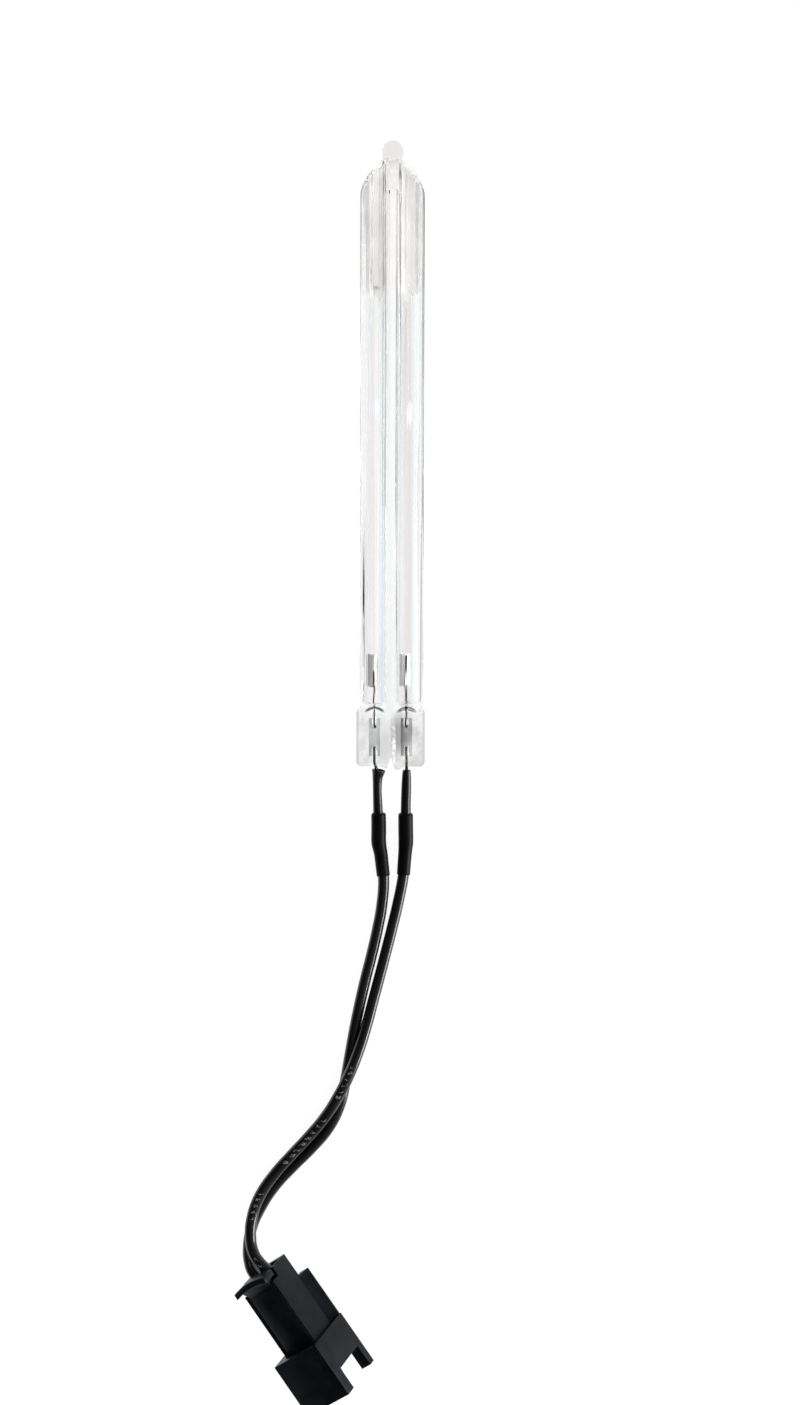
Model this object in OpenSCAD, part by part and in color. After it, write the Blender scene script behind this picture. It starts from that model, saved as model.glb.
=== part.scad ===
// Double-bore quartz germicidal lamp with two leads and a two-pin latching connector.
// Y runs along the tube with its seal-off tip at +Y, Z is up, and everything lies on Z = 0.
// The origin is the middle of the lamp, from the tip to the ends of its stiff outer leads.

/* [Quartz tube] */
// Length of the quartz, from the seal-off tip to the end of the pinch
glass_len = 99; // [80:1:300]
// Outer diameter of the lobe round each bore
lobe_d = 5.2; // [5:0.1:6]
// Inner diameter of each bore
bore_d = 3.75; // [3.6:0.05:4.2]
// Distance between the centre lines of the two bores
bore_pitch = 5.1; // [5:0.1:6]
// Thickness of the web between the lobes, at the bottom of its grooves
waist_h = 3.3; // [2.8:0.1:3.8]
// Radius of the groove along each side of the web
waist_round = 1.6; // [1.2:0.1:2.2]
// Radius of the dome's long curve, seen from above
dome_round = 7.8; // [6:0.1:10]
// Distance that the seal-off tip stands above the point of the dome's curves
tip_rise = 2.3; // [1.9:0.1:3]
// Diameter of the seal-off tip
tip_d = 3.5; // [3:0.1:4]
// Diameter of the neck under the seal-off tip
neck_d = 3.3; // [2.8:0.1:3.6]
// Distance from the tip down to the end of the wall between the bores
web_drop = 8.2; // [7:0.1:12]
// Height of the passage that joins the bores above that wall
passage_h = 2; // [1.4:0.1:2.4]

/* [Pinch seal] */
// Width of the pinch
pinch_w = 10.8; // [10.6:0.1:13]
// Length of the flat part of the pinch
pinch_len = 8.4; // [8:0.1:16]
// Thickness of the pinch
pinch_t = 2.8; // [2.2:0.1:3.4]
// Length over which the tube narrows to the pinch
pinch_taper = 2.1; // [1.6:0.1:4]
// Radius of the pinch's corners
pinch_corner = 0.8; // [0.4:0.1:1.2]
// Depth of the seam pressed along the middle of each face
seam_depth = 0.35; // [0.1:0.05:0.6]
// Length of the broken notch where the seam meets the end
chip_len = 1.5; // [0.6:0.1:2.5]
// Half the width of that notch
chip_w = 0.5; // [0.2:0.1:0.8]
// Distance from the flat part of the pinch up to the floor of each bore
floor_rise = 1.1; // [0.8:0.1:3]
// Radius of the shallow floor of each bore
floor_round = 3; // [2.2:0.1:5]

/* [Electrodes] */
// Outer diameter of each cup
cup_d = 1.8; // [1.4:0.1:2]
// Length of each cup
cup_len = 5.1; // [3:0.1:8]
// Wall of each cup
cup_wall = 0.2; // [0.1:0.05:0.4]
// Diameter of the closed lower end of each cup
cup_foot_d = 1.3; // [1:0.1:1.4]
// Length of the narrowing at that end
cup_foot_len = 0.6; // [0.4:0.1:1]
// Distance from the bore's floor to the cup
cup_lift = 3.1; // [2.5:0.1:8]
// Sideways place of the cup in its bore
cup_shift = -0.45; // [-0.5:0.05:0.3]
// Distance that the cup lies below the bore's centre line
cup_drop = 0.3; // [0.1:0.05:0.3]
// Diameter of the stem wire that is welded to each cup
stem_d = 0.4; // [0.3:0.05:0.5]
// Turn of the stem round the cup, from straight above it
stem_turn = 18; // [0:1:30]
// Length of the left stem that lies along its cup
left_stem_lap = 2.6; // [1:0.1:3]
// Length of the right stem that lies along its cup
right_stem_lap = 5; // [1:0.1:5.5]
// Diameter of the drop of mercury
bead_d = 0.55; // [0.4:0.05:0.6]

/* [Seal foils and outer leads] */
// Width of each sealing foil
foil_w = 1.75; // [1.4:0.05:2.4]
// Length of each sealing foil
foil_len = 6; // [5:0.1:6.4]
// Thickness of each sealing foil
foil_t = 0.06; // [0.04:0.01:0.1]
// Distance from the end of the pinch to the foil
foil_end = 1.65; // [1:0.05:2]
// Length of the stem that lies on the foil
stem_weld = 1.6; // [1:0.1:2]
// Length of the outer lead that lies on the foil
lead_weld = 1.5; // [1:0.1:2]
// Diameter of each outer lead
lead_d = 0.5; // [0.4:0.05:0.55]
// Distance that the outer leads reach past the end of the pinch
lead_out = 12; // [11.6:0.1:12.1]

/* [Sleeves and splices] */
// Outer diameter of the sleeve on each outer lead
sleeve_d = 1.6; // [1.4:0.05:1.7]
// Bore of that sleeve
sleeve_bore = 1; // [0.8:0.05:1.1]
// Diameter of the left sleeve at its flared mouth
left_mouth_d = 2.1; // [1.6:0.1:2.4]
// Diameter of the right sleeve at its mouth
right_mouth_d = 1.35; // [1.3:0.05:1.8]
// Length over which a sleeve changes to its full diameter
mouth_len = 2.5; // [1:0.1:4]
// Slope of the cut across each sleeve's mouth
mouth_cut = 12; // [0:1:25]
// Outer diameter of the crimp that joins lead and wire
crimp_d = 1.9; // [1.75:0.05:2]
// Wall of that crimp
crimp_wall = 0.2; // [0.15:0.05:0.25]
// Length of that crimp
crimp_len = 4; // [3:0.1:4.1]
// Wall of the shrunk sleeve over the crimp
shrink_wall = 0.2; // [0.15:0.05:0.22]
// Wall of the shrunk sleeve over the wire
shrink_thin = 0.12; // [0.1:0.01:0.15]
// Length of the shrunk sleeve above the crimp
shrink_lip = 0.7; // [0.5:0.1:1.2]

/* [Wires] */
// Diameter of each wire over its insulation
wire_d = 1.8; // [1.6:0.05:1.8]
// Diameter of the stranded conductor
strand_d = 0.75; // [0.6:0.05:0.8]

/* [Connector housing] */
// Length of the housing
plug_len = 21.5; // [19:0.1:24]
// Length of the wider shroud at its front
shroud_len = 8.9; // [8:0.1:9.6]
// Width of the shroud, along the row of pins
shroud_w = 9.1; // [8.8:0.1:9.2]
// Height of the shroud
shroud_h = 9.2; // [9:0.1:10]
// Wall of the shroud's sides
shroud_wall = 1.2; // [1:0.1:1.4]
// Wall of the shroud's underside
shroud_floor = 1.2; // [1:0.1:1.4]
// Thickness of the shroud's roof
roof_t = 1.15; // [0.9:0.05:1.2]
// Depth of the socket
socket_depth = 8.1; // [7:0.1:8.2]
// Wall behind the socket, which the pins pass
socket_back = 1.2; // [0.8:0.1:1.6]
// Length of the notches at the front of the shroud
notch_len = 3.5; // [2:0.1:4.5]
// Height of the strip above each side notch
notch_top = 1.8; // [1.5:0.1:2.4]
// Width of each foot beside the notch in the underside
notch_foot = 1.9; // [1.5:0.1:2.4]
// Width of the body behind the shroud
body_w = 6.6; // [6.5:0.1:7.2]
// Height of the body's underside above the shroud's underside
body_lift = 1.6; // [1.4:0.1:1.9]
// Height of the deck under the lever
deck_z = 5.55; // [5.4:0.05:5.6]
// Thickness of the walls beside the lever
side_wall = 0.5; // [0.4:0.05:0.6]
// Distance from the rear to the walls beside the lever
wall_start = 1.6; // [1.5:0.1:3]
// Distance from the rear to the side rails
rail_start = 4; // [3:0.1:6]
// Distance that each rail stands out from the body
rail_out = 1.1; // [0.6:0.1:1.1]
// Depth of the recess in the rear where the wires enter
recess_depth = 2; // [1.2:0.1:2.2]
// Wall round that recess
recess_wall = 0.5; // [0.4:0.05:0.6]

/* [Terminals] */
// Distance between the two pins
pin_pitch = 2.5; // [2.5:0.05:2.7]
// Height of the pins above the shroud's underside
pin_z = 4.2; // [3.7:0.05:4.25]
// Diameter of each pin
pin_d = 1; // [0.8:0.05:1.1]
// Length of each pin in the socket
pin_len = 6.6; // [5:0.1:7]
// Length of the rounded point of each pin
pin_point = 0.5; // [0.3:0.1:0.8]
// Diameter of the cavity that holds each terminal
cavity_d = 2.1; // [2.05:0.05:2.2]
// Width and height of each terminal's box
box_w = 1.4; // [1.2:0.05:1.4]
// Length of each terminal's box
box_len = 3.2; // [2:0.1:4]
// Distance from the rear of the housing to the wire's stripped end
wire_depth = 2.8; // [2.4:0.1:3.2]
// Length of the barrel crimped on the strands
barrel_len = 2.4; // [1.6:0.1:3]
// Outer diameter of that barrel
barrel_d = 1.3; // [1.2:0.05:1.5]

/* [Latch lever] */
// Thickness of the lever
lever_t = 1.05; // [0.9:0.05:1.1]
// Gap between the deck and the lever
lever_gap = 0.6; // [0.6:0.05:0.65]
// Distance from the rear to the rib on which the lever rocks
pivot_y = 10.5; // [9.5:0.1:10.8]
// Radius of that rib's round top
pivot_r = 0.4; // [0.3:0.05:0.45]
// Width of that rib
rib_w = 3; // [2:0.1:4.4]
// Distance from the housing's front to the lever's front end
lever_end = 1.5; // [1.2:0.1:2.5]
// Depth of the catch under the lever's front end
hook_depth = 0.8; // [0.4:0.05:0.8]
// Length of the catch
hook_len = 1.1; // [0.8:0.1:1.6]
// Height of the slope in front of the thumb tab
tab_slope = 1.1; // [0.6:0.1:1.4]
// Height of the thumb tab above the lever
tab_h = 1.65; // [1.2:0.05:2.4]
// Thickness of the thumb tab
tab_t = 0.9; // [0.8:0.1:1.1]
// Radius of the thumb tab's bowed faces
tab_round = 12; // [8:0.1:20]
// Distance from the rear to the ends of the bowed rear face
tab_start = 0.1; // [0:0.05:0.2]

/* [Clearances] */
// Gap round each metal piece that is sealed in the quartz
seal_gap = 0.02; // [0.01:0.01:0.04]
// Gap between pieces that are welded or laid on each other
weld_gap = 0.01; // [0.01:0.01:0.03]
// Gap round a piece that is held in a sleeve, crimp or cavity
hold_gap = 0.03; // [0.02:0.01:0.05]
// Running gap between the lever and its rib
run_gap = 0.03; // [0.02:0.01:0.06]
// Gap between the lever and what is beside it
lever_side_gap = 0.2; // [0.15:0.05:0.3]

/* [Hidden] */
$fn = 48;
LEFT = 0;
RIGHT = 1;
SIGN = [-1, 1];
// Length by which a cut runs past the face that it opens
past = 0.1;

// Places along Y
tip_y = (glass_len + lead_out) / 2;
pinch_end = tip_y - glass_len;
pinch_top = pinch_end + pinch_len;
bore_floor = pinch_top + floor_rise;
cup_y = bore_floor + cup_lift;
foil_y = pinch_end + foil_end;
tube_z = lobe_d / 2;

// Dome: two long curves that close towards the centre line, turned round it. The curves start
// a little outside the lobes and end in a small flat, which the tip covers on the outside.
dome_flare = 0.05;
dome_flat = 0.5;
dome_r = (bore_pitch + lobe_d) / 2 + dome_flare;
dome_reach = sqrt(pow(dome_round, 2) - pow(dome_round - dome_r, 2));
dome_y = tip_y - tip_rise - dome_reach;
glass_wall = (lobe_d - bore_d) / 2;

// Electrode and lead heights
lead_z = tube_z + foil_t / 2 + weld_gap + lead_d / 2;
stem_foil_z = tube_z + foil_t / 2 + weld_gap + stem_d / 2;
stem_ring = (cup_d + stem_d) / 2 + weld_gap;
stem_laps = [left_stem_lap, right_stem_lap];
mouth_ds = [left_mouth_d, right_mouth_d];

// Lead and strands lie side by side in the crimp
crimp_bore = crimp_d - 2 * crimp_wall;
lead_aside = (crimp_bore - lead_d) / 2 - hold_gap;
strand_aside = (crimp_bore - strand_d) / 2 - hold_gap;
lead_lean = (sleeve_bore - lead_d) / 2 - hold_gap;
shrink_d = crimp_d + 2 * (hold_gap + shrink_wall);
shrink_thin_d = wire_d + 2 * (hold_gap + shrink_thin);
// Gap round the sleeve where it enters the shrunk sleeve at a slight angle
lip_gap = 0.09;

// Points that the leads and wires pass, measured from the end of the pinch, left then right.
// Each run is the sleeve's mouth, the crimp's start and the crimp's end, then the wire's exit.
// The mouths' X counts from the centre line of their own bore.
MOUTH = [[0.4, -0.6, 2.72], [0, -0.7, 2.7]];
CRIMP_START = [[-1.9, -8.1, 1.6], [2.43, -8.1, 1.6]];
CRIMP_END = [[-1.75, -12.5, 1.22], [2.47, -12.5, 1.22]];
WIRE_EXIT = [[-1.05, -17.6, 1.08], [2.1, -17.4, 1.08]];
LEFT_ROUTE = [
    [-1.3, -22.1, 0.92], [-2, -26.1, 0.92], [-2.9, -30.1, 0.92], [-3.9, -34.1, 0.92],
    [-4.8, -38.1, 0.92], [-5.6, -42.1, 0.92], [-6.3, -46.1, 0.92], [-7, -50.1, 0.92],
    [-7.9, -54.1, 0.92], [-9.7, -57.8, 0.92], [-12.3, -60.9, 0.92], [-15.2, -63.8, 0.92],
    [-18, -66.8, 0.92], [-20.3, -70.2, 0.95], [-21.9, -73.8, 1.1], [-22.3, -76.6, 1.9],
    [-22, -78.4, 3.2], [-21.35, -79.6, 4.2]
];
RIGHT_ROUTE = [
    [1.3, -21.7, 0.92], [0.4, -25.6, 0.92], [-0.6, -29.6, 0.92], [-1.6, -33.5, 0.92],
    [-2.6, -37.3, 1], [-3.6, -41.1, 1.5], [-4.8, -44.9, 2.3], [-6.3, -48.7, 2.8],
    [-8.1, -52.3, 2.8], [-10.2, -55.7, 2.4], [-12.7, -58.8, 2], [-15.4, -61.7, 2.1],
    [-18.1, -64.7, 2.3], [-20.4, -68, 2.8], [-21.6, -71.3, 3.1], [-21.8, -74.2, 3.7],
    [-21.2, -76.4, 4.8], [-20.1, -77.75, 5.5]
];
// Place of the connector's rear underside from the end of the pinch, and its turn about X, Y, Z
plug_at = [-18.15, -78.25, 1.46];
plug_turn = [5.6, 25.4, -141.3];

// Heights and places in the connector's own frame: X along the pins, Y to the front, Z up
shroud_y = plug_len - shroud_len;
socket_y = plug_len - socket_depth;
roof_z = shroud_h - roof_t;
lever_z = deck_z + lever_gap;
lever_top = lever_z + lever_t;
lever_w = body_w - 2 * (side_wall + lever_side_gap);
lever_front = plug_len - lever_end;
tab_centre_y = tab_start + sqrt(pow(tab_round, 2) - pow(body_w / 2, 2));
pin_tip_y = socket_y + pin_len;
box_end = socket_y - socket_back;
box_start = box_end - box_len;
shank_w = pin_d + 0.1;
neck_w = 0.8;
barrel_y = wire_depth + 0.5;
barrel_end = barrel_y + barrel_len;

function unit(v) = v / norm(v);
function from_pinch(p) = [p.x, p.y + pinch_end, p.z];
function bore_x(side) = SIGN[side] * bore_pitch / 2;
function cup_x(side) = bore_x(side) + cup_shift;
function mouth(side) = from_pinch(MOUTH[side]) + [bore_x(side), 0, 0];
function crimp_start(side) = from_pinch(CRIMP_START[side]);
function crimp_end(side) = from_pinch(CRIMP_END[side]);
function wire_exit(side) = from_pinch(WIRE_EXIT[side]);

// The connector's frame seen from the lamp's
function turn_x(v, a) = [v.x, v.y * cos(a) - v.z * sin(a), v.y * sin(a) + v.z * cos(a)];
function turn_y(v, a) = [v.x * cos(a) + v.z * sin(a), v.y, v.z * cos(a) - v.x * sin(a)];
function turn_z(v, a) = [v.x * cos(a) - v.y * sin(a), v.x * sin(a) + v.y * cos(a), v.z];
function plug_point(p) =
    from_pinch(plug_at + turn_z(turn_y(turn_x(p, plug_turn.x), plug_turn.y), plug_turn.z));
// The left wire goes to the pin on the connector's +X side, which lies to the lamp's left
function pin_x(side) = -SIGN[side] * pin_pitch / 2;

// Whole path of a wire, from inside its shrunk sleeve to inside the connector
function wire_start(side) =
    crimp_end(side) + unit(wire_exit(side) - crimp_end(side)) * 1.2;
function wire_path(side) = concat(
    [wire_start(side), wire_exit(side)],
    [for (p = side == LEFT ? LEFT_ROUTE : RIGHT_ROUTE) from_pinch(p)],
    [plug_point([pin_x(side), wire_depth - 1.4, pin_z]),
        plug_point([pin_x(side), wire_depth, pin_z])]
);
WIRE_SIDES = 8;
function path_dir(path, i) = unit(path[min(i + 1, len(path) - 1)] - path[max(i - 1, 0)]);
function path_ring(path, i, r) =
    let (
        along = path_dir(path, i),
        across = unit(cross(along, [0, 0, 1])),
        over = cross(across, along)
    )
    [for (k = [0 : WIRE_SIDES - 1])
        path[i] + r * (cos(360 * k / WIRE_SIDES) * across + sin(360 * k / WIRE_SIDES) * over)];

// Puts its children's +Z along the line from p to q
module along(p, q) {
    v = q - p;
    translate(p)
        rotate([0, acos(v.z / norm(v)), atan2(v.y, v.x)])
            children();
}

// A tube of triangles swept along a path
module swept(path, d) {
    n = WIRE_SIDES;
    last = len(path) - 1;
    points = [for (i = [0 : last]) each path_ring(path, i, d / 2)];
    walls = [for (i = [0 : last - 1]) for (k = [0 : n - 1])
        let (a = i * n + k, b = i * n + (k + 1) % n)
        each [[a, b, a + n], [b, b + n, a + n]]];
    start_cap = [for (k = [n - 1 : -1 : 0]) k];
    end_cap = [for (k = [0 : n - 1]) last * n + k];
    polyhedron(points = points, faces = concat(walls, [start_cap, end_cap]));
}

// Turns a shape drawn along +Z to lie along +Y on the tube's centre line
module along_tube(y) {
    translate([0, y, tube_z]) rotate([-90, 0, 0]) children();
}

// Body of revolution under the dome's curve, straight below it
module dome_envelope(r, curve, reach_down) {
    height = sqrt(pow(curve, 2) - pow(curve - r + dome_flat, 2));
    rotate_extrude() {
        intersection() {
            translate([r - curve, 0]) circle(r = curve, $fn = 96);
            square([r, height]);
        }
        translate([0, -reach_down]) square([r, reach_down + past / 10]);
    }
}

// Section of the twin tube: two lobes and the grooved web between them
module twin_tube(y0, y1) {
    web_half = waist_h / 2 + 0.3;
    for (side = [LEFT, RIGHT])
        translate([bore_x(side), 0, 0]) along_tube(y0) cylinder(d = lobe_d, h = y1 - y0);
    difference() {
        translate([-bore_pitch / 2, y0, tube_z - web_half])
            cube([bore_pitch, y1 - y0, 2 * web_half]);
        for (up = [-1, 1])
            translate([0, y0 - past, tube_z + up * (waist_h / 2 + waist_round)])
                rotate([-90, 0, 0])
                    cylinder(r = waist_round, h = y1 - y0 + 2 * past);
    }
}

// Side outline of the tube's lower end, narrowing to the pinch
module taper_wedge() {
    run = pinch_top + pinch_taper;
    rotate([90, 0, 90])
        translate([0, 0, -pinch_w])
            linear_extrude(2 * pinch_w)
                polygon([
                    [pinch_top - 1, tube_z - pinch_t / 2], [pinch_top, tube_z - pinch_t / 2],
                    [run, -past], [tip_y, -past], [tip_y, lobe_d + past],
                    [run, lobe_d + past], [pinch_top, tube_z + pinch_t / 2],
                    [pinch_top - 1, tube_z + pinch_t / 2]
                ]);
}

module pinch_outline() {
    inner_w = pinch_w / 2 - pinch_corner;
    height = pinch_len + pinch_corner;
    translate([-inner_w, 0]) square([2 * inner_w, height]);
    translate([-pinch_w / 2, pinch_corner]) square([pinch_w, height - 2 * pinch_corner]);
    for (x = [-inner_w, inner_w], y = [pinch_corner, height - pinch_corner])
        translate([x, y]) circle(r = pinch_corner);
}

// Slivers of glass left where the two halves of the pinch parted
module chip_outline() {
    polygon([[0.35, 1], [0.5, -0.15], [0.75, -0.35], [0.95, -0.72], [1.2, -0.5],
        [1.6, -0.4], [2.3, 0], [2.3, 1]]);
    polygon([[-0.4, 1], [-0.5, -0.3], [-0.9, -0.35], [-1.9, 0], [-1.9, 1]]);
}

module pinch() {
    translate([0, pinch_end, tube_z - pinch_t / 2])
        linear_extrude(pinch_t)
            pinch_outline();
    translate([0, pinch_end, tube_z - pinch_t / 3])
        linear_extrude(pinch_t * 2 / 3)
            chip_outline();
}

// Seam grooves on both faces and the broken notch between the halves
module pinch_cuts() {
    for (up = [-1, 1])
        translate([0, pinch_end - 1, tube_z + up * pinch_t / 2])
            rotate([0, 45, 0])
                cube([seam_depth * sqrt(2), 2 * pinch_len, seam_depth * sqrt(2)], center = true);
    translate([0, pinch_end, tube_z - pinch_t])
        linear_extrude(2 * pinch_t)
            polygon([[-chip_w, -1], [-chip_w, 0], [0.1, chip_len], [chip_w * 0.7, 0],
                [chip_w * 0.7, -1]]);
}

// One bore with its shallow round floor
module bore(side) {
    r = bore_d / 2;
    translate([bore_x(side), 0, 0]) along_tube(bore_floor)
        rotate_extrude() {
            intersection() {
                translate([0, floor_round]) circle(r = floor_round, $fn = 96);
                square([r, floor_round]);
            }
            translate([0, floor_round - past / 10])
                square([r, tip_y - bore_floor - floor_round]);
        }
}

// The sealed hollow: both bores and the passage over the wall between them
module hollow() {
    intersection() {
        union() {
            bore(LEFT);
            bore(RIGHT);
            translate([-bore_pitch / 2, tip_y - web_drop, tube_z - passage_h / 2])
                cube([bore_pitch, web_drop, passage_h]);
        }
        along_tube(dome_y)
            dome_envelope(dome_r - glass_wall, dome_round - glass_wall, glass_len);
    }
}

// What a foil and its two leads take up in the quartz
module seal_pocket(side, gap) {
    foil(side, gap);
    swept(stem_path(side), stem_d + 2 * gap);
    swept(lead_path(side), lead_d + 2 * gap);
}

module quartz_envelope() {
    color([0.93, 0.95, 0.96, 0.35])
        difference() {
            union() {
                intersection() {
                    twin_tube(pinch_top - 1, dome_y);
                    taper_wedge();
                }
                intersection() {
                    twin_tube(dome_y - past / 2, tip_y);
                    along_tube(dome_y) dome_envelope(dome_r, dome_round, past);
                }
                along_tube(tip_y - tip_d / 2) sphere(d = tip_d);
                along_tube(tip_y - tip_rise - 1.4) cylinder(d = neck_d, h = 1.9);
                pinch();
            }
            hollow();
            pinch_cuts();
            for (side = [LEFT, RIGHT]) seal_pocket(side, seal_gap);
        }
}

module electrode_cup(side) {
    color([0.62, 0.61, 0.58])
        translate([cup_x(side), cup_y, tube_z - cup_drop]) rotate([-90, 0, 0])
            difference() {
                union() {
                    cylinder(d1 = cup_foot_d, d2 = cup_d, h = cup_foot_len);
                    translate([0, 0, cup_foot_len]) cylinder(d = cup_d, h = cup_len - cup_foot_len);
                }
                translate([0, 0, cup_foot_len])
                    cylinder(d = cup_d - 2 * cup_wall, h = cup_len);
            }
}

// Stem: along the cup, down the bore and onto the foil
function stem_path(side) =
    let (
        x = cup_x(side) + stem_ring * sin(stem_turn),
        z = tube_z - cup_drop + stem_ring * cos(stem_turn),
        foil_top = foil_y + foil_len
    )
    [[x, cup_y + stem_laps[side], z], [x, cup_y - 0.4, z],
        [bore_x(side), foil_top + 0.6, stem_foil_z], [bore_x(side), foil_top - stem_weld, stem_foil_z]];

module electrode_stem(side) {
    color([0.25, 0.24, 0.24]) swept(stem_path(side), stem_d);
}

module foil(side, gap) {
    translate([bore_x(side) - foil_w / 2 - gap, foil_y - gap, tube_z - foil_t / 2 - gap])
        cube([foil_w + 2 * gap, foil_len + 2 * gap, foil_t + 2 * gap]);
}

module seal_foil(side) {
    color([0.55, 0.56, 0.57]) foil(side, 0);
}

// A point on the crimp's centre line, at a distance past the end of the pinch
function crimp_point(side, out) =
    let (p = crimp_start(side), q = crimp_end(side))
    p + (q - p) * (p.y - pinch_end + out) / (p.y - q.y);

// Outer lead: on the foil, out of the pinch, down its sleeve and into the crimp
function lead_path(side) = [
    [bore_x(side), foil_y + lead_weld, lead_z], [bore_x(side), pinch_end + 0.6, lead_z],
    mouth(side), crimp_start(side) - [lead_lean, 0, 0],
    crimp_point(side, pinch_end - crimp_start(side).y + 1.2) - [lead_aside, 0, 0],
    crimp_point(side, lead_out) - [lead_aside, 0, 0]
];

module outer_lead(side) {
    color([0.3, 0.29, 0.28]) swept(lead_path(side), lead_d);
}

module mercury_drop() {
    color([0.8, 0.8, 0.82])
        translate([cup_x(LEFT), cup_y + cup_len / 2, tube_z - sqrt(pow(bore_d / 2 - bead_d / 2, 2)
            - pow(cup_shift, 2)) + weld_gap])
            sphere(d = bead_d);
}

// Thin black tube on the outer lead, cut off askew at its mouth
module lead_sleeve(side) {
    length = norm(crimp_start(side) - mouth(side));
    color([0.06, 0.06, 0.06])
        along(mouth(side), crimp_start(side))
            difference() {
                union() {
                    cylinder(d1 = mouth_ds[side], d2 = sleeve_d, h = mouth_len);
                    translate([0, 0, mouth_len]) cylinder(d = sleeve_d, h = length - mouth_len);
                }
                translate([0, 0, -past]) cylinder(d = sleeve_bore, h = length + 2 * past);
                rotate([0, mouth_cut, 0])
                    translate([-sleeve_d * 2, -sleeve_d * 2, -sleeve_d * 2])
                        cube([sleeve_d * 4, sleeve_d * 4, sleeve_d * 2]);
            }
}

module splice_crimp(side) {
    color([0.75, 0.7, 0.6])
        along(crimp_start(side), crimp_end(side))
            translate([0, 0, past])
                difference() {
                    cylinder(d = crimp_d, h = crimp_len);
                    translate([0, 0, -past]) cylinder(d = crimp_bore, h = crimp_len + 2 * past);
                }
}

// Bare strands from the end of the wire into the crimp
module splice_strands(side) {
    run = unit(crimp_end(side) - crimp_start(side));
    aside = [strand_aside, 0, 0];
    color([0.8, 0.5, 0.3])
        swept([
            wire_start(side), crimp_end(side) + aside / 2, crimp_end(side) - run * 0.8 + aside,
            crimp_start(side) + run * 1.2 + aside
        ], strand_d);
}

// Outside or bore of the shrunk sleeve: its lip, then its stretch over the crimp
module shrink_over_crimp(side, lip_d, wide_d, over) {
    wide_len = norm(crimp_end(side) - crimp_start(side));
    along(crimp_start(side), crimp_end(side)) {
        translate([0, 0, -shrink_lip - over]) cylinder(d = lip_d, h = shrink_lip + over + 0.3);
        cylinder(d = wide_d, h = wide_len);
    }
}

// Outside or bore of its stretch over the wire
module shrink_over_wire(side, d, over) {
    thin_len = norm(wire_exit(side) - crimp_end(side)) - 0.2;
    along(crimp_end(side), wire_exit(side))
        translate([0, 0, -0.2]) cylinder(d = d, h = thin_len + over);
}

module shrink_sleeve(side) {
    bore_lip = sleeve_d + 2 * lip_gap;
    color([0.05, 0.05, 0.055])
        difference() {
            union() {
                shrink_over_crimp(side, bore_lip + 2 * shrink_thin, shrink_d, 0);
                along(crimp_end(side), wire_exit(side))
                    translate([0, 0, -0.2])
                        cylinder(d1 = shrink_d - 0.15, d2 = shrink_thin_d - 0.05, h = 1.6);
                shrink_over_wire(side, shrink_thin_d, 0);
            }
            shrink_over_crimp(side, bore_lip, crimp_d + 2 * hold_gap, past);
            shrink_over_wire(side, wire_d + 2 * hold_gap, past);
        }
}

module wire(side) {
    color([0.05, 0.05, 0.05]) swept(wire_path(side), wire_d);
}

// Places its children in the connector's frame
module in_plug() {
    translate(from_pinch(plug_at)) rotate(plug_turn) children();
}

// Turns a shape drawn along +Z to lie along a pin's line, from a distance past the rear
module along_pin(side, y) {
    translate([pin_x(side), y, pin_z]) rotate([-90, 0, 0]) children();
}

module pin_strands(side) {
    color([0.8, 0.5, 0.3])
        swept([
            for (y = [wire_depth, barrel_y, barrel_end - 0.3]) plug_point([pin_x(side), y, pin_z])
        ], strand_d);
}

// A square bar along a pin's line
module pin_bar(side, w, y0, y1) {
    translate([pin_x(side) - w / 2, y0, pin_z - w / 2]) cube([w, y1 - y0, w]);
}

// Terminal: barrel crimped on the strands, neck, box held in the cavity, shank and round pin
module terminal_pin(side) {
    color([0.8, 0.78, 0.72])
        in_plug() {
            difference() {
                along_pin(side, barrel_y) cylinder(d = barrel_d, h = barrel_len);
                along_pin(side, barrel_y - past)
                    cylinder(d = strand_d + 2 * hold_gap, h = barrel_len - 0.2 + past);
            }
            pin_bar(side, neck_w, barrel_end - past, box_start + past);
            pin_bar(side, box_w, box_start, box_end);
            pin_bar(side, shank_w, box_end - past, socket_y);
            along_pin(side, socket_y - past)
                cylinder(d = pin_d, h = pin_tip_y - pin_point - socket_y + past);
            along_pin(side, pin_tip_y - pin_point)
                cylinder(d1 = pin_d, d2 = pin_d / 2, h = pin_point);
        }
}

// Flanges along the underside, sloping out to the width of the shroud
module side_rails() {
    b = body_w / 2;
    for (s = [0, 1])
        mirror([s, 0, 0])
            translate([0, shroud_y + past, 0]) rotate([90, 0, 0])
                linear_extrude(shroud_y - rail_start + past)
                    polygon([
                        [b - 0.7, body_lift + past], [b - 0.7, 0.1], [b + rail_out, 0.1],
                        [b + rail_out, 0.35], [b, body_lift + 0.3], [b - 0.3, body_lift + 0.3]
                    ]);
}

// Rib with a round top that carries the lever
module rocker_rib() {
    foot_w = pivot_r * 1.6;
    translate([-rib_w / 2, pivot_y - foot_w / 2, deck_z - past])
        cube([rib_w, foot_w, lever_gap + past]);
    translate([-rib_w / 2, pivot_y, lever_z]) rotate([0, 90, 0]) cylinder(r = pivot_r, h = rib_w);
}

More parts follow.
